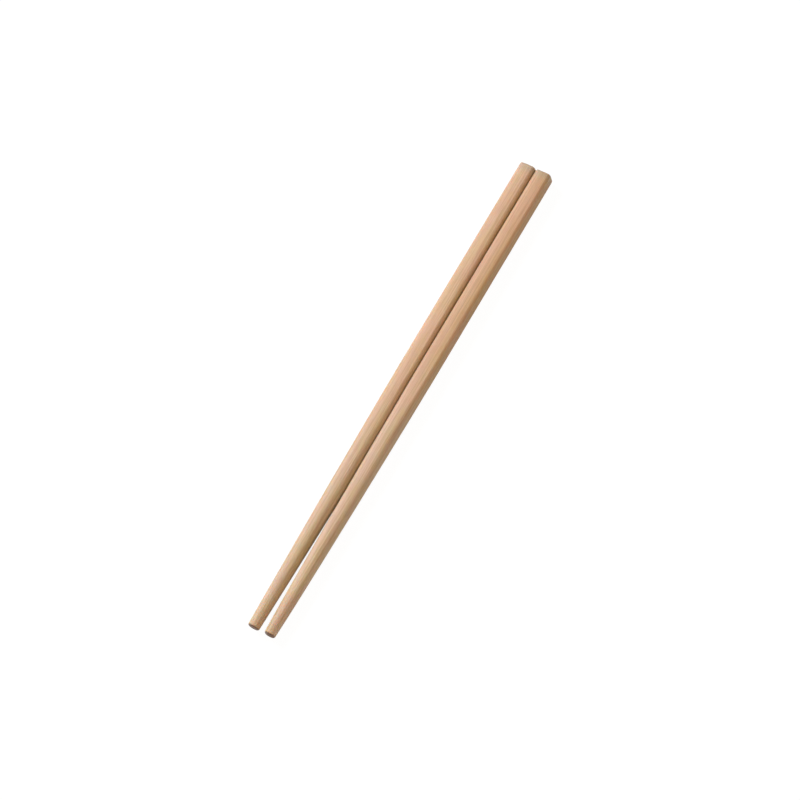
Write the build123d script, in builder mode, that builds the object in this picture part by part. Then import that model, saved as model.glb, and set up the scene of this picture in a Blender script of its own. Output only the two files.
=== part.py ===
from build123d import *

import os

# A pair of bamboo chopsticks, lying side by side on a table.
# Each stick is one piece of bamboo. Its handle is square with rounded edges, and runs into a
# long bowed taper. The edges grow rounder along the taper, so that the end for eating is round.
# Both ends are sawn off square, with their rims eased.
#
# The frame is in millimetres, with +Z up and the table at Z = 0. The sticks lie along Y, each on
# a flat of its handle, with their butts at +Y and their tips at -Y. They mirror each other about
# the YZ plane. The origin is on the table, under the middle of the pair.

# Driving dimensions of one stick
stick_length = 240.0
handle_length = 108.0  # the parallel part, from the butt face to where the taper starts
handle_width = 7.8  # across the flats
handle_edge_radius = 1.6
round_length = 36.0  # the part at the tip that is round
tip_diameter = 5.4  # at the tip face, before its rim is eased
butt_rim_radius = 1.0
tip_rim_radius = 0.7

# Driving dimensions of the pair as it lies
side_clearance = 0.1  # between the handles

taper_length = stick_length - handle_length
rounding_length = taper_length - round_length  # where the edges grow from the handle's to round

# The share of its half width that an edge's radius takes. It stays just short of the whole, so
# that every section has the same four flats and four edges for the loft to join.
handle_roundness = handle_edge_radius / (handle_width / 2)
full_roundness = 0.97

# The taper is lofted in stretches, which keeps its long faces even. Three are on the rounding
# part and the last is the round part.
rounding_stretches = 3
taper_joints = [
    handle_length + rounding_length * step / rounding_stretches
    for step in range(rounding_stretches + 1)
] + [stick_length]


def section_plane(side, station):
    """The plane across a stick at a distance from its butt face, facing the tip. The side is -1
    for the stick at -X and 1 for the one at +X."""
    return Plane(
        origin=(
            side * (handle_width + side_clearance) / 2,
            stick_length / 2 - station,
            handle_width / 2,
        ),
        x_dir=(1, 0, 0),
        z_dir=(0, -1, 0),
    )


def section(station):
    """The outline across a stick. The width falls along a parabola that starts level, and the
    edges round off evenly until the round part starts."""
    along_taper = max(0, station - handle_length)
    width = handle_width - (handle_width - tip_diameter) * (along_taper / taper_length) ** 2
    rounding = min(1, along_taper / rounding_length)
    roundness = handle_roundness + (full_roundness - handle_roundness) * rounding
    return RectangleRounded(width, width, roundness * width / 2)


def bamboo_stick(side):
    """One stick: the handle extruded, the taper lofted on from it, and both rims eased. Each
    stretch of the taper goes through three sections, which is what a parabola needs."""
    with BuildPart() as stick:
        with BuildSketch(section_plane(side, 0)):
            section(0)
        extrude(amount=handle_length)
        for start, end in zip(taper_joints, taper_joints[1:]):
            for station in (start, (start + end) / 2, end):
                with BuildSketch(section_plane(side, station)):
                    section(station)
            loft()
        ends = stick.edges().group_by(Axis.Y)
        fillet(ends[-1], radius=butt_rim_radius)
        fillet(ends[0], radius=tip_rim_radius)
    return stick


sticks = {"left_chopstick": bamboo_stick(-1), "right_chopstick": bamboo_stick(1)}

os.makedirs("parts", exist_ok=True)
for name, stick in sticks.items():
    stick.part.label = name
    export_step(stick.part, f"parts/{name}.step")
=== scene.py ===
"""The looks of a pair of bamboo chopsticks that lie side by side on a white table.

Each stick's surface is worked out with numpy from sizes read off its CAD solid. It has the
solid's square handle and long taper to a round tip, and what a real stick adds: flats that are
slightly crowned by sanding, rims eased by hand, sawn ends, and the relief of the fibre bundles
that run through the culm.
Lengths are in metres, in the frame of the CAD, with +Z up, the butts at +Y and the tips at -Y.
"""

import math

import bpy
import numpy as np
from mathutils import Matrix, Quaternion, Vector


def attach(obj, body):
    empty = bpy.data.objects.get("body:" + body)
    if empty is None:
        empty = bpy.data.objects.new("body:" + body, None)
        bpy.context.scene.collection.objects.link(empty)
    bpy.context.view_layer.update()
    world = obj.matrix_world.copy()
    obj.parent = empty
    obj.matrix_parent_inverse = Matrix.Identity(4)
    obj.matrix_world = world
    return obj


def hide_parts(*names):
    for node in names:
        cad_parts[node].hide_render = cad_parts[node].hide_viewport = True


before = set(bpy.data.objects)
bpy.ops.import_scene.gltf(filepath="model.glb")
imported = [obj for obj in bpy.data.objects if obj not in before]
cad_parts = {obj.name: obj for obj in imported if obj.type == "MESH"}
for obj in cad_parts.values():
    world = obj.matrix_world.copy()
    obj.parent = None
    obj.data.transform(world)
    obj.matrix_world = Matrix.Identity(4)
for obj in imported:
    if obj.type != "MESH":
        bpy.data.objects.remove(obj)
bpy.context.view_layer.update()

MM = 0.001

# The photograph's view: a long lens, looking down from beyond the tips and to their right
VIEW_AZIMUTH = 49.13  # degrees
VIEW_ELEVATION = 67.54  # degrees
VIEW_ROLL = -20.42  # degrees
VIEW_DISTANCE = 1.5
VIEW_AIM = (-0.032 * MM, -1.692 * MM)  # the point at the picture's centre, at the height of the axes
LENS = 155.87  # millimetres, on a sensor 36 mm wide
SENSOR = 36.0

# The grid of a stick's surface
STEPS_AROUND = 216
STEPS_ALONG = 312
STEPS_ON_BUTT_RIM = 16
STEPS_ON_TIP_RIM = 12
STEPS_ON_FACE = 36  # from the middle of a sawn face to its rim

# A ring of the CAD solid's vertices counts as a full one from this many, and a vertex is on it
# when it is this near
FULL_RING = 100
ON_RING = 1e-6


def smooth_step(low, high, value):
    """0 below low, 1 above high, and a cubic with level ends between them."""
    share = np.clip((value - low) / (high - low), 0.0, 1.0)
    return share * share * (3.0 - 2.0 * share)


def mix(first, second, share):
    return first * (1.0 - share) + second * share


# What each stick has of its own. On their crowned flats both lean a little to the left, and their
# tips stand out a little past the solids', as sticks are never cut quite the same. The rims of
# the tips are worn rounder than the solids', by the share tip_worn, and a tip may be thinner. A
# stick grows paler towards its tip, between two places given in millimetres along +Y from its
# middle.

STICKS = {
    "left_chopstick": dict(
        seed=11, side=-1, lean=math.radians(6.4), longer=0.30 * MM, tip_worn=1.2,
        tip_thinner=0.0, bundles_lean=0.6, paler_between=(20.0, -60.0),
        handle_colour=(0.659, 0.442, 0.259, 1.0), tip_colour=(0.652, 0.487, 0.306, 1.0),
    ),
    "right_chopstick": dict(
        seed=29, side=1, lean=math.radians(4.8), longer=0.15 * MM, tip_worn=1.7,
        tip_thinner=0.28 * MM, bundles_lean=2.4, paler_between=(35.0, -30.0),
        handle_colour=(0.645, 0.413, 0.228, 1.0), tip_colour=(0.670, 0.495, 0.320, 1.0),
    ),
}


def measured_stick(node):
    """The sizes of a stick, read off its CAD solid. Its full rings of vertices lie at the butt face,
    at the end of the butt's rim, at the end of the handle, along the taper and at the tip face.
    The width of a ring is its height, and an edge's radius is what its flat leaves of that."""
    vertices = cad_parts[node].data.vertices
    points = np.empty(len(vertices) * 3)
    vertices.foreach_get("co", points)
    points = points.reshape(-1, 3)
    low, high = points.min(axis=0), points.max(axis=0)
    butt = np.array([(low[0] + high[0]) / 2, high[1], (low[2] + high[2]) / 2])
    station = butt[1] - points[:, 1]
    stations, counts = np.unique(np.round(station, 6), return_counts=True)
    rings = stations[counts >= FULL_RING]

    def ring_width(at):
        here = points[np.abs(station - at) < ON_RING]
        width = 2 * (here[:, 2].max() - butt[2])
        flat = 2 * np.abs(here[here[:, 2] > butt[2] + width / 2 - ON_RING, 0] - butt[0]).max()
        return width, 1 - flat / width

    handle_width, handle_roundness = ring_width(rings[2])
    round_width, full_roundness = ring_width(rings[-2])
    size = dict(
        butt=butt,
        length=rings[-1],
        handle_length=rings[2],
        rounding_length=rings[-2] - rings[2],
        handle_width=handle_width,
        fall=(handle_width - round_width) / (rings[-2] - rings[2]) ** 2,
        roundness=(handle_roundness, full_roundness),
        butt_rim=rings[1],
    )
    size["tip_rim"] = (section_of(size, size["length"])[0] - ring_width(rings[-1])[0]) / 2
    return size


def section_of(size, station):
    """The width of a section and the radius of its edges. The width falls along a parabola that
    starts level where the handle ends. The share of the half width that the radius takes grows
    from there, fast at first, until the section is round."""
    along_taper = np.clip(station - size["handle_length"], 0.0, None)
    width = size["handle_width"] - size["fall"] * along_taper**2
    rounding = np.clip(along_taper / size["rounding_length"], 0.0, 1.0) ** SOONER_ROUND
    return width, mix(*size["roundness"], rounding) * width / 2


# Sanding crowns the flats: each turns by this angle from its middle to where its edge starts
CROWN = math.radians(7.0)

# The edges round off sooner along the taper than the solid's
SOONER_ROUND = 0.8  # the power of the share of the rounding part

THINNED_END = 16.0 * MM  # a thinner tip narrows over this much of the stick

# Moved together by this much each, the leaning sticks all but touch
MOVED_TOGETHER = 0.01 * MM


def crowned_square(width, radius, turns):
    """A point on a square with rounded corners and crowned flats, and the direction of its normal
    as an angle from up. Each quarter runs from the middle of one flat to the middle of the next,
    at an even pace: an arc of the large radius R that turns by the crown C, an arc of the radius
    r about a point on the diagonal, and an arc of R again. The three meet smoothly when
    R = (h + r (sin C - cos C)) / (1 + sin C - cos C), where h is half the width."""
    half, lean = width / 2, math.sin(CROWN) - math.cos(CROWN)
    large = (half + radius * lean) / (1 + lean)
    centre = (large - radius) * math.sin(CROWN)
    flat, corner = large * CROWN, radius * (math.pi / 2 - 2 * CROWN)
    quarter = np.floor(turns * 4)
    walked = (turns * 4 - quarter) * (2 * flat + corner)
    before, after = np.minimum(walked, flat), np.clip(walked - flat - corner, 0.0, None)
    on_corner = np.clip(walked - flat, 0.0, corner)
    turned = (before + after) / large + on_corner / radius
    first, last = walked < flat, walked > flat + corner
    reach = np.where(first | last, large, radius)
    right = np.where(first, 0.0, np.where(last, half - large, centre)) + reach * np.sin(turned)
    up = np.where(first, half - large, np.where(last, 0.0, centre)) + reach * np.cos(turned)
    cos, sin = np.cos(quarter * math.pi / 2), np.sin(quarter * math.pi / 2)
    return cos * right + sin * up, cos * up - sin * right, turned + quarter * math.pi / 2


def profile(size, tip_worn):
    """The way from the middle of the butt face to the middle of the tip face: the distance along
    the axis, how far the section is drawn in from the side, the share of it that is left, and how
    far the surface has turned from facing sideways, from -1 at the butt face to 1 at the tip
    face. The rims are quarter circles, and the faces shrink their own outline to its middle."""
    quarter = math.pi / 2
    butt_rim, tip_rim, length = size["butt_rim"], tip_worn * size["tip_rim"], size["length"]
    to_side = np.linspace(0.0, quarter, STEPS_ON_BUTT_RIM + 1)
    to_face = np.linspace(0.0, quarter, STEPS_ON_TIP_RIM + 1)
    side = np.linspace(butt_rim, length - tip_rim, STEPS_ALONG + 1)[1:-1]
    out_of_middle = np.arange(1, STEPS_ON_FACE) / STEPS_ON_FACE
    on_face, on_side = np.ones(STEPS_ON_FACE - 1), np.ones(len(side))
    station = np.concatenate([
        0 * on_face,
        butt_rim * (1 - np.cos(to_side)),
        side,
        length - tip_rim * (1 - np.sin(to_face)),
        length * on_face,
    ])
    drawn_in = np.concatenate([
        butt_rim * on_face,
        butt_rim * (1 - np.sin(to_side)),
        0 * on_side,
        tip_rim * (1 - np.cos(to_face)),
        tip_rim * on_face,
    ])
    left = np.concatenate([out_of_middle, 1 + 0 * to_side, on_side, 1 + 0 * to_face, out_of_middle[::-1]])
    turned = np.concatenate([-on_face, to_side / quarter - 1, 0 * on_side, to_face / quarter, on_face])
    return station, drawn_in, left, turned


def drifting_waves(random, angle, station, count, most_around, shortest, longest):
    """A smooth random height over the surface, about 1 high at its peaks: a sum of waves, each
    the cosine of a whole number of turns around plus a share of its wavelength along."""
    height = np.zeros(np.broadcast(angle, station).shape)
    for _ in range(count):
        turns = random.integers(0, most_around + 1)
        wavelength = random.uniform(shortest, longest) * random.choice((-1, 1))
        starts = random.uniform(0, 2 * np.pi)
        height = height + np.cos(turns * angle + 2 * np.pi * station / wavelength + starts)
    return height / math.sqrt(2 * count)


# The fibre bundles of the culm: their spacing, and the sizes of one as shares of the spacing
BUNDLE_SPACING = 0.62 * MM
BUNDLE_JITTER = 0.75
BUNDLE_SIZE = (0.20, 0.40)
DENSER_OUTSIDE = 0.28  # how much closer the bundles lie on the side that faced out of the culm
GRAIN_SLOPE = (0.0022, -0.0016)  # sideways for each length along
GRAIN_WANDER = 0.16 * MM
GRAIN_WAVELENGTH = (130 * MM, 190 * MM)
BUNDLE_DARKNESS = (0.35, 1.0)
BUNDLE_CORE = 0.35  # the share of a bundle's size that is dark to the full
BUNDLE_TABLE = 64  # cells of the grid before the bundles repeat


def fibre_bundles(random, across, upward, station, lean, radius):
    """How deep in a fibre bundle each point lies, 0 to 1, and that bundle's own darkness.

    The bundles run the length of the stick, nearly along its axis, and the surface cuts
    them. In the section they are the points of a square grid, each moved at random inside its
    cell. The grid is closer on the side that faced out of the culm, which lies at the angle lean.
    The depth is a level-ended step down from the bundle's middle to its edge."""
    wavelength, starts = random.uniform(*GRAIN_WAVELENGTH), random.uniform(0, 6)
    wander = GRAIN_WANDER * np.sin(2 * np.pi * station / wavelength + starts)
    outward = across * math.sin(lean) + upward * math.cos(lean) + GRAIN_SLOPE[0] * station
    sideways = across * math.cos(lean) - upward * math.sin(lean) + GRAIN_SLOPE[1] * station + wander
    outward = outward * (1 + DENSER_OUTSIDE * outward / radius)
    first, second = outward / BUNDLE_SPACING, sideways / BUNDLE_SPACING
    cell_a, cell_b = np.floor(first).astype(int), np.floor(second).astype(int)
    moved = random.uniform(-BUNDLE_JITTER / 2, BUNDLE_JITTER / 2, (2, BUNDLE_TABLE, BUNDLE_TABLE))
    size = random.uniform(*BUNDLE_SIZE, (BUNDLE_TABLE, BUNDLE_TABLE))
    darkness = random.uniform(*BUNDLE_DARKNESS, (BUNDLE_TABLE, BUNDLE_TABLE))
    nearest = np.full(across.shape, np.inf)
    dark = np.zeros(across.shape)
    for step_a in (-1, 0, 1):
        for step_b in (-1, 0, 1):
            a, b = cell_a + step_a, cell_b + step_b
            at = (a % BUNDLE_TABLE, b % BUNDLE_TABLE)
            gap_a = first - (a + 0.5 + moved[0][at])
            gap_b = second - (b + 0.5 + moved[1][at])
            share = np.hypot(gap_a, gap_b) / size[at]
            nearer = share < nearest
            nearest = np.where(nearer, share, nearest)
            dark = np.where(nearer, darkness[at], dark)
    return 1.0 - smooth_step(BUNDLE_CORE, 1.0, nearest), dark


# Depths of the relief
BUNDLE_STANDS = 0.012 * MM
UNEVEN_SECTION = 0.015 * MM
UNEVEN_TWIST = 9.0  # radians for each metre along
LONG_WAVES = 0.016 * MM
RIM_UNEVEN = 0.05 * MM
SAW_MARKS = 0.012 * MM
SAW_PITCH = 0.7 * MM
END_FIBRES_SUNK = 0.02 * MM

GREYED_END = 5.0 * MM  # the colour turns greyer over this much of the butt


def stick_surface(size, own):
    """The surface of one stick: crowned squares set round its axis. The relief moves each
    point along the surface's normal, and is the sum of an uneven section, long waves, the bundles
    that stand proud of the softer ground, uneven rims and, on the faces, saw marks and sunk
    bundle ends."""
    random = np.random.default_rng(own["seed"])
    station, drawn_in, left, turned = [part[:, None] for part in profile(size, own["tip_worn"])]
    side_end = size["length"] - size["tip_rim"]
    station = station + own["longer"] * smooth_step(size["handle_length"], side_end, station)
    turns = np.arange(STEPS_AROUND)[None, :] / STEPS_AROUND
    width, radius = section_of(size, station)
    thinned = smooth_step(size["length"] - THINNED_END, size["length"], station) * own["tip_thinner"]
    width, radius = width - thinned, radius - thinned / 2
    across, upward, normal = crowned_square(width - 2 * drawn_in, radius - drawn_in, turns)
    across, upward = left * across, left * upward
    angle = 2 * np.pi * turns
    fibre, dark = fibre_bundles(
        random, across, upward, station + 0 * angle, own["bundles_lean"], size["handle_width"] / 2
    )

    on_side = 1 - np.abs(turned)
    on_rim = 4 * on_side * (1 - on_side)
    uneven = np.cos(2 * angle + random.uniform(0, 6) + UNEVEN_TWIST * station)
    uneven = uneven + 0.5 * np.cos(3 * angle + random.uniform(0, 6))
    waves = drifting_waves(
        random, angle, station, count=14, most_around=3, shortest=20 * MM, longest=90 * MM
    )
    rim_waves = drifting_waves(
        random, angle, station, count=10, most_around=7, shortest=20 * MM, longest=60 * MM
    )
    along_saw = across * math.cos(own["seed"]) + upward * math.sin(own["seed"])
    saw = np.sin(2 * np.pi * along_saw / SAW_PITCH)
    relief = (
        on_side * (UNEVEN_SECTION * uneven + LONG_WAVES * waves + BUNDLE_STANDS * fibre * dark)
        + on_rim * RIM_UNEVEN * rim_waves
        + (1 - on_side) * left * (SAW_MARKS * saw - END_FIBRES_SUNK * fibre * dark)
    )
    facing = turned * math.pi / 2
    sideways = relief * np.cos(facing)
    out_across, out_upward = across + sideways * np.sin(normal), upward + sideways * np.cos(normal)
    cos, sin = math.cos(own["lean"]), math.sin(own["lean"])
    points = np.empty(across.shape + (3,))
    middle = size["butt"][0] - own["side"] * MOVED_TOGETHER
    points[..., 0] = middle + cos * out_across - sin * out_upward
    points[..., 1] = size["butt"][1] - station - relief * np.sin(facing)
    points[..., 2] = sin * out_across + cos * out_upward
    points[..., 2] -= points[..., 2].min()
    edge = np.sin(2 * normal) ** 2 * (1 - radius / (width / 2))
    values = dict(
        fibre=fibre * dark,
        end_grain=1 - on_side + 0 * angle,
        worn=np.maximum(on_rim, edge),
        greyed=1 - smooth_step(0.2 * GREYED_END, GREYED_END, station) + 0 * angle,
    )
    return points, (across, upward), values


def closed_mesh(name, points, outline, values):
    """The grid of rings as a closed mesh: four-sided faces between the rings, and a fan of
    triangles to the middle of each sawn face."""
    rings, around = points.shape[:2]
    at = np.arange(rings * around).reshape(rings, around)
    right = np.roll(at, -1, axis=1)
    quads = np.stack([at[:-1], at[1:], right[1:], right[:-1]], axis=-1).reshape(-1, 4)
    butt_middle, tip_middle = rings * around, rings * around + 1
    butt_fan = np.stack([np.full(around, butt_middle), at[0], right[0]], axis=-1)
    tip_fan = np.stack([np.full(around, tip_middle), right[-1], at[-1]], axis=-1)
    middles = [points[0].mean(axis=0), points[-1].mean(axis=0)]
    everything = np.concatenate([points.reshape(-1, 3), middles])

    mesh = bpy.data.meshes.new(name)
    loops = np.concatenate([quads.ravel(), butt_fan.ravel(), tip_fan.ravel()])
    sides = np.concatenate([np.full(len(quads), 4), np.full(2 * around, 3)])
    mesh.vertices.add(len(everything))
    mesh.vertices.foreach_set("co", everything.ravel())
    mesh.loops.add(len(loops))
    mesh.loops.foreach_set("vertex_index", loops)
    mesh.polygons.add(len(sides))
    mesh.polygons.foreach_set("loop_start", np.concatenate([[0], np.cumsum(sides)[:-1]]))
    mesh.polygons.foreach_set("use_smooth", np.ones(len(sides), dtype=bool))
    mesh.update(calc_edges=True)
    mesh.validate()
    for value_name, value in values.items():
        layer = mesh.attributes.new(value_name, "FLOAT", "POINT")
        in_middles = [value[0].mean(), value[-1].mean()]
        layer.data.foreach_set("value", np.concatenate([value.ravel(), in_middles]))
    layer = mesh.uv_layers.new(name="OFBake")
    layer.data.foreach_set("uv", map_for_baking(points, outline).ravel())
    return mesh


MAP_MARGIN = 0.006
BAND_HEIGHT = 0.44
FACE_HALF = 0.048  # half the side of the square that a face gets on the map


def map_for_baking(points, outline):
    """Where each corner of each face lies on the map for baking. The side is
    cut in two along its length, and each half fills a band across the map, with the way along
    the stick across and the way around it up. The two sawn faces keep their own outlines, in the
    strip above the bands. The corners are set one by one, so a cut has both its edges."""
    rings, around = points.shape[:2]
    steps = np.linalg.norm(np.diff(points.mean(axis=1), axis=0), axis=1)
    reach = np.concatenate([[0.0], np.cumsum(steps)])
    first, last = STEPS_ON_FACE - 1, rings - STEPS_ON_FACE
    middle = (first + last) // 2
    row, step = np.arange(rings), np.arange(around)
    corner_row = np.stack([row[:-1], row[1:], row[1:], row[:-1]], axis=-1)[:, None, :]
    corner_step = np.stack([step, step, step + 1, step + 1], axis=-1)[None, :, :]
    corner_row, corner_step = np.broadcast_arrays(corner_row, corner_step)
    quad_row = np.broadcast_to(row[:-1, None, None], corner_row.shape)

    corners = np.empty(corner_row.shape + (2,))
    for low, high, base in ((first, middle, MAP_MARGIN), (middle, last, 2 * MAP_MARGIN + BAND_HEIGHT)):
        inside = (quad_row >= low) & (quad_row < high)
        share = (reach[corner_row] - reach[low]) / (reach[high] - reach[low])
        right, up = MAP_MARGIN + (1 - 2 * MAP_MARGIN) * share, base + BAND_HEIGHT * corner_step / around
        corners[inside] = np.stack([right, up], axis=-1)[inside]

    across, upward = outline
    fans = []
    faces = ((quad_row < first, first, 0), (quad_row >= last, last, rings - 1))
    for number, (inside, widest, end) in enumerate(faces):
        centre = np.array([
            2 * MAP_MARGIN + FACE_HALF + number * (2 * FACE_HALF + 2 * MAP_MARGIN),
            3 * MAP_MARGIN + 2 * BAND_HEIGHT + FACE_HALF,
        ])
        scale = FACE_HALF / across[widest].max()
        place = centre + scale * np.stack([across, upward], axis=-1)
        face = place[corner_row, corner_step % around]
        corners[inside] = face[inside]
        here, after = place[end], np.roll(place[end], -1, axis=0)
        pair = (here, after) if number == 0 else (after, here)
        fans.append(np.stack([np.broadcast_to(centre, here.shape), *pair], axis=1).reshape(-1, 2))
    return np.concatenate([corners.reshape(-1, 2)] + fans)


# Node groups

def new_group(name, inputs, outputs):
    """An empty shader node group with named number or vector sockets."""
    kinds = {"float": "NodeSocketFloat", "vector": "NodeSocketVector"}
    group = bpy.data.node_groups.new(name, "ShaderNodeTree")
    for socket, kind, default in inputs:
        made = group.interface.new_socket(socket, in_out="INPUT", socket_type=kinds[kind])
        if default is not None:
            made.default_value = default
    for socket, kind in outputs:
        group.interface.new_socket(socket, in_out="OUTPUT", socket_type=kinds[kind])
    return group


class Tree:
    """Adds nodes to one node tree, and links them as they are made."""

    def __init__(self, tree):
        self.tree = tree

    def node(self, kind, inputs=(), **settings):
        made = self.tree.nodes.new(kind)
        for name, value in settings.items():
            setattr(made, name, value)
        for name, value in dict(inputs).items():
            self.put(made.inputs[name], value)
        return made

    def put(self, socket, value):
        if isinstance(value, bpy.types.NodeSocket):
            self.tree.links.new(value, socket)
        else:
            socket.default_value = value

    def math(self, operation, first, second):
        made = self.node("ShaderNodeMath", operation=operation)
        self.put(made.inputs[0], first)
        self.put(made.inputs[1], second)
        return made.outputs[0]

    def mix(self, share, first, second, blend="MIX"):
        made = self.tree.nodes.new("ShaderNodeMix")
        made.data_type, made.blend_type = "RGBA", blend
        sockets = [s for s in made.inputs if s.type == "RGBA"]
        self.put(made.inputs["Factor"], share)
        self.put(sockets[0], first)
        self.put(sockets[1], second)
        return next(s for s in made.outputs if s.type == "RGBA")

    def ramp(self, value, low, high, from_low=0.0, to_high=1.0):
        """A level-ended step from from_low to to_high as the value goes from low to high."""
        made = self.node(
            "ShaderNodeMapRange",
            {"Value": value, "From Min": low, "From Max": high, "To Min": from_low, "To Max": to_high},
            interpolation_type="SMOOTHSTEP",
        )
        return made.outputs["Result"]

    def group(self, group, inputs=()):
        made = self.tree.nodes.new("ShaderNodeGroup")
        made.node_tree = group
        for name, value in dict(inputs).items():
            self.put(made.inputs[name], value)
        return made


def drawn_noise():
    """Noise drawn out along the stick: fine across it and long along it, 0 to 1."""
    group = new_group(
        "drawn_noise",
        [
            ("Place", "vector", None),
            ("Across", "float", 5.0),
            ("Along", "float", 0.1),
            ("Detail", "float", 3.0),
            ("Offset", "float", 0.0),
        ],
        [("Value", "float")],
    )
    tree = Tree(group)
    given = tree.node("NodeGroupInput")
    scale = tree.node(
        "ShaderNodeCombineXYZ",
        {"X": given.outputs["Across"], "Y": given.outputs["Along"], "Z": given.outputs["Across"]},
    )
    stretched = tree.node("ShaderNodeVectorMath", operation="MULTIPLY")
    tree.put(stretched.inputs[0], given.outputs["Place"])
    tree.put(stretched.inputs[1], scale.outputs[0])
    noise = tree.node(
        "ShaderNodeTexNoise",
        {
            "Vector": stretched.outputs[0],
            "W": given.outputs["Offset"],
            "Scale": 1.0,
            "Detail": given.outputs["Detail"],
            "Roughness": 0.55,
        },
        noise_dimensions="4D",
    )
    result = tree.node("NodeGroupOutput")
    tree.put(result.inputs["Value"], noise.outputs[0])
    return group


MILLIMETRES = 1000.0  # in a metre

# Colours of sanded bamboo
FIBRE_BROWN = (0.38, 0.20, 0.105, 1.0)
PORE_BROWN = (0.22, 0.115, 0.06, 1.0)
SAWN_BUTT = (0.42, 0.30, 0.195, 1.0)
# The sawn tip is dark end grain and painted shade: it is far darker than the sawn butt, for the shade on
# the tip face, which is turned away from the key.
SAWN_TIP_AND_SHADE = (0.19, 0.105, 0.065, 1.0)
SAWN_FIBRE = (0.10, 0.05, 0.03, 1.0)

# What the stick's own colour is multiplied by
YELLOWER = (0.99, 1.025, 0.94, 1.0)
PINKER = (1.015, 0.98, 1.04, 1.0)
STREAKED = (0.84, 0.77, 0.69, 1.0)
THREADED = (0.80, 0.72, 0.64, 1.0)
RUBBED = (1.08, 1.09, 1.10, 1.0)
GREYED = (0.82, 0.97, 1.09, 1.0)

# How much of each shows
THREADS_SHOW = 0.8
RUBBED_SHOWS = 0.35
FIBRES_SHOW = 0.45
PORES_SHOW = 0.55
SAWN_FIBRES_SHOW = 0.75


def stick_material(name, size, own, groups):
    """Sanded, unvarnished bamboo. Its colour is built up from the ground colour, which pales
    towards the tip, through slow tints, streaks, fine threads, rubbed edges and a greyed butt to
    the fibres and pores, and changes to the sawn colour on the ends and their rims. The sawn
    colour darkens towards the tip, where it is dark end grain and painted shade."""
    material = bpy.data.materials.new(name)
    material.use_nodes = True
    material.node_tree.nodes.clear()
    tree = Tree(material.node_tree)
    middle = size["butt"] - [0.0, size["length"] / 2, 0.0]
    coordinates = tree.node("ShaderNodeTexCoord")
    centred = tree.node("ShaderNodeMapping", {"Vector": coordinates.outputs["Object"]}, vector_type="POINT")
    centred.inputs["Scale"].default_value = (MILLIMETRES,) * 3
    centred.inputs["Location"].default_value = [-MILLIMETRES * v for v in middle]
    place = centred.outputs[0]
    seed = float(own["seed"])

    def noise(across, along, detail, offset):
        return tree.group(
            groups["drawn_noise"],
            {"Place": place, "Across": across, "Along": along, "Detail": detail, "Offset": seed + offset},
        ).outputs["Value"]

    def tinted(colour, tint, share):
        return tree.mix(share, colour, tree.mix(1.0, colour, tint, "MULTIPLY"))

    fibre, end_grain, worn, greyed = [
        tree.node("ShaderNodeAttribute", attribute_name=value).outputs["Fac"]
        for value in ("fibre", "end_grain", "worn", "greyed")
    ]
    along = tree.node("ShaderNodeSeparateXYZ", {"Vector": place}).outputs["Y"]
    to_tip = tree.ramp(along, *own["paler_between"])
    ground = tree.mix(to_tip, own["handle_colour"], own["tip_colour"])
    hue = tree.ramp(noise(across=0.22, along=0.045, detail=2.0, offset=0.0), 0.38, 0.62)
    ground = tree.mix(1.0, ground, tree.mix(hue, YELLOWER, PINKER), "MULTIPLY")
    streaks = noise(across=1.5, along=0.018, detail=4.0, offset=3.0)
    ground = tinted(ground, STREAKED, tree.ramp(streaks, 0.62, 0.36))
    fine = noise(across=9.0, along=0.12, detail=3.0, offset=7.0)
    ground = tinted(ground, THREADED, tree.ramp(fine, 0.42, 0.70, 0.0, THREADS_SHOW))
    ground = tinted(ground, RUBBED, tree.math("MULTIPLY", worn, RUBBED_SHOWS))
    ground = tinted(ground, GREYED, greyed)
    fibred = tree.mix(tree.math("MULTIPLY", fibre, FIBRES_SHOW), ground, FIBRE_BROWN)
    pores = noise(across=15.0, along=0.30, detail=2.0, offset=13.0)
    fibred = tree.mix(tree.ramp(pores, 0.66, 0.74, 0.0, PORES_SHOW), fibred, PORE_BROWN)
    # The sawn ends and their rims darken towards the tip: end grain, and painted shade on the tip face.
    sawn = tree.mix(to_tip, SAWN_BUTT, SAWN_TIP_AND_SHADE)
    sawn = tree.mix(tree.math("MULTIPLY", fibre, SAWN_FIBRES_SHOW), sawn, SAWN_FIBRE)
    shows_end = tree.ramp(end_grain, 0.0, 0.40)
    colour = tree.mix(shows_end, fibred, sawn)

    rough = tree.ramp(streaks, 0.3, 0.7, 0.50, 0.60)
    rough = tree.math("ADD", rough, tree.math("MULTIPLY", end_grain, 0.25))
    height = tree.math("ADD", tree.math("MULTIPLY", fine, 0.6), tree.math("MULTIPLY", streaks, 0.4))
    bump = tree.node("ShaderNodeBump", {"Strength": 0.35, "Distance": 0.00003, "Height": height})
    shader = tree.node(
        "ShaderNodeBsdfPrincipled",
        {
            "Base Color": colour,
            "Roughness": rough,
            "Normal": bump.outputs[0],
            "Specular IOR Level": 0.45,
            "Sheen Weight": 0.25,
            "Sheen Roughness": 0.5,
            "Subsurface Weight": 0.6,
            "Subsurface Radius": (1.0, 0.5, 0.25),
            "Subsurface Scale": 3.0 * MM,
        },
    )
    result = tree.node("ShaderNodeOutputMaterial")
    tree.put(result.inputs["Surface"], shader.outputs[0])
    return material


def seen_directly(tree):
    """1 for what the camera sees, straight or in a reflection, and 0 for the light that falls."""
    path = tree.node("ShaderNodeLightPath")
    seen = tree.math("MAXIMUM", path.outputs["Is Camera Ray"], path.outputs["Is Glossy Ray"])
    return tree.math("MAXIMUM", seen, path.outputs["Is Transmission Ray"])


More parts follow.
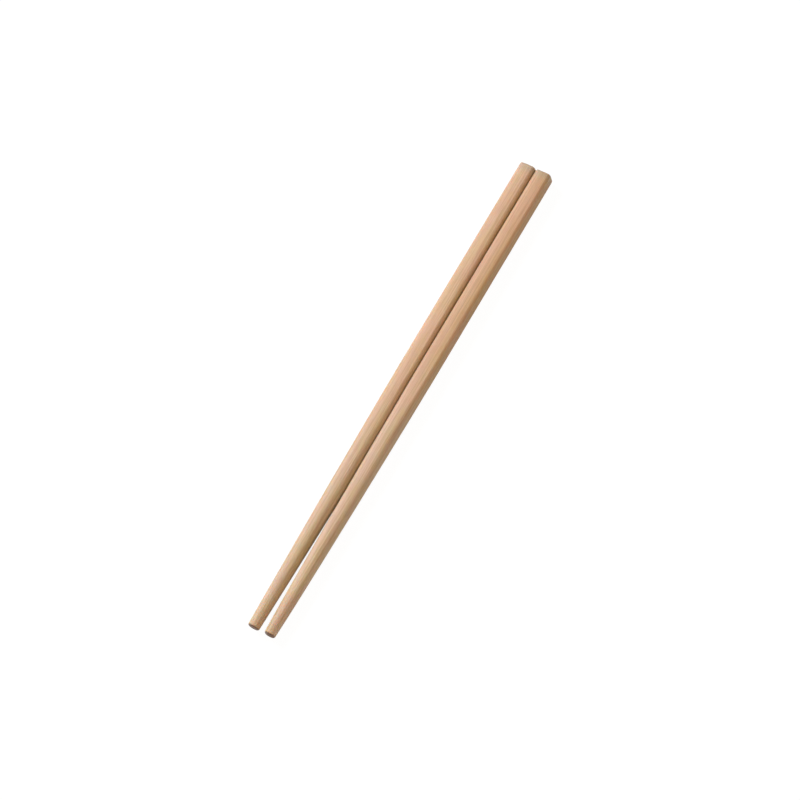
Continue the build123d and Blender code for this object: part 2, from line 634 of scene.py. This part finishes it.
# Light: even light from all round, one softbox low on the left and a wide, faint one high on the
# right. The powers are such that a colour renders about as it is written.
AMBIENT = 0.285
WARM = (1.0, 0.88, 0.70)
KEY_PLACE = (-1.50, 0.45, 1.18)
KEY_WIDTH = 0.75
KEY_POWER = 36.0
KEY_COLOUR = (1.0, 1.03, 1.18)
FILL_PLACE = (0.50, -0.35, 1.36)
FILL_WIDTH = 0.6
FILL_POWER = 4.4

TABLE_HALF = 3.0
FLOOR_COLOUR = (0.88, 0.88, 0.88, 1.0)
FLOOR_LIFT = 0.90  # the share of plain white in what the camera sees of the table
FLOOR_WHITE = 1.06


def floor_material():
    """A matt white table. Seen directly, it is lifted to white, with a share of its own shading
    left, so that the shadow of the sticks still shows."""
    material = bpy.data.materials.new("table_white")
    material.use_nodes = True
    material.node_tree.nodes.clear()
    tree = Tree(material.node_tree)
    matt = tree.node("ShaderNodeBsdfDiffuse", {"Color": FLOOR_COLOUR})
    white = tree.node("ShaderNodeEmission", {"Color": (1, 1, 1, 1), "Strength": FLOOR_WHITE})
    path = tree.node("ShaderNodeLightPath")
    share = tree.math("MULTIPLY", path.outputs["Is Camera Ray"], FLOOR_LIFT)
    both = tree.node("ShaderNodeMixShader", {"Fac": share})
    tree.put(both.inputs[1], matt.outputs[0])
    tree.put(both.inputs[2], white.outputs[0])
    result = tree.node("ShaderNodeOutputMaterial")
    tree.put(result.inputs["Surface"], both.outputs[0])
    return material


def white_world(strength):
    """Even soft light from all round, and plain white wherever the camera sees past the table."""
    world = bpy.data.worlds.new("white_room")
    bpy.context.scene.world = world
    world.use_nodes = True
    world.node_tree.nodes.clear()
    tree = Tree(world.node_tree)
    light = tree.node("ShaderNodeBackground", {"Color": (*WARM, 1.0), "Strength": strength})
    white = tree.node("ShaderNodeBackground", {"Color": (1, 1, 1, 1), "Strength": 1.0})
    both = tree.node("ShaderNodeMixShader", {"Fac": seen_directly(tree)})
    tree.put(both.inputs[1], light.outputs[0])
    tree.put(both.inputs[2], white.outputs[0])
    result = tree.node("ShaderNodeOutputWorld")
    tree.put(result.inputs["Surface"], both.outputs[0])


def softbox(name, place, width, power, colour):
    """A square area lamp that faces the object."""
    lamp = bpy.data.lights.new(name, "AREA")
    lamp.shape = "SQUARE"
    lamp.size = width
    lamp.energy = power
    lamp.color = colour
    holder = bpy.data.objects.new(name, lamp)
    holder.location = place
    holder.rotation_mode = "QUATERNION"
    holder.rotation_quaternion = Vector(place).to_track_quat("Z", "Y")
    bpy.context.collection.objects.link(holder)


def camera(size):
    azimuth, elevation = math.radians(VIEW_AZIMUTH), math.radians(VIEW_ELEVATION)
    back = Vector((
        math.sin(azimuth) * math.cos(elevation),
        -math.cos(azimuth) * math.cos(elevation),
        math.sin(elevation),
    ))
    data = bpy.data.cameras.new("camera")
    data.lens = LENS
    data.sensor_width = SENSOR
    holder = bpy.data.objects.new("camera", data)
    holder.location = Vector((*VIEW_AIM, size["handle_width"] / 2)) + back * VIEW_DISTANCE
    holder.rotation_mode = "QUATERNION"
    holder.rotation_quaternion = Quaternion(back, math.radians(VIEW_ROLL)) @ back.to_track_quat("Z", "Y")
    bpy.context.collection.objects.link(holder)
    bpy.context.scene.camera = holder


def table():
    half = TABLE_HALF
    corners = [(-half, -half, 0), (half, -half, 0), (half, half, 0), (-half, half, 0)]
    mesh = bpy.data.meshes.new("table_top")
    mesh.from_pydata(corners, [], [(0, 1, 2, 3)])
    mesh.materials.append(floor_material())
    floor = bpy.data.objects.new("table_top", mesh)
    bpy.context.collection.objects.link(floor)


groups = {"drawn_noise": drawn_noise()}
for node, own in STICKS.items():
    size = measured_stick(node)
    points, outline, values = stick_surface(size, own)
    mesh = closed_mesh(node + "_bamboo", points, outline, values)
    mesh.materials.append(stick_material(node + "_bamboo", size, own, groups))
    stick = bpy.data.objects.new(node + "_bamboo", mesh)
    bpy.context.collection.objects.link(stick)
    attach(stick, "root")
    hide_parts(node)

table()
white_world(AMBIENT)
softbox("key", KEY_PLACE, KEY_WIDTH, KEY_POWER, KEY_COLOUR)
softbox("fill", FILL_PLACE, FILL_WIDTH, FILL_POWER, WARM)
camera(size)

bpy.context.scene.view_settings.view_transform = "Standard"
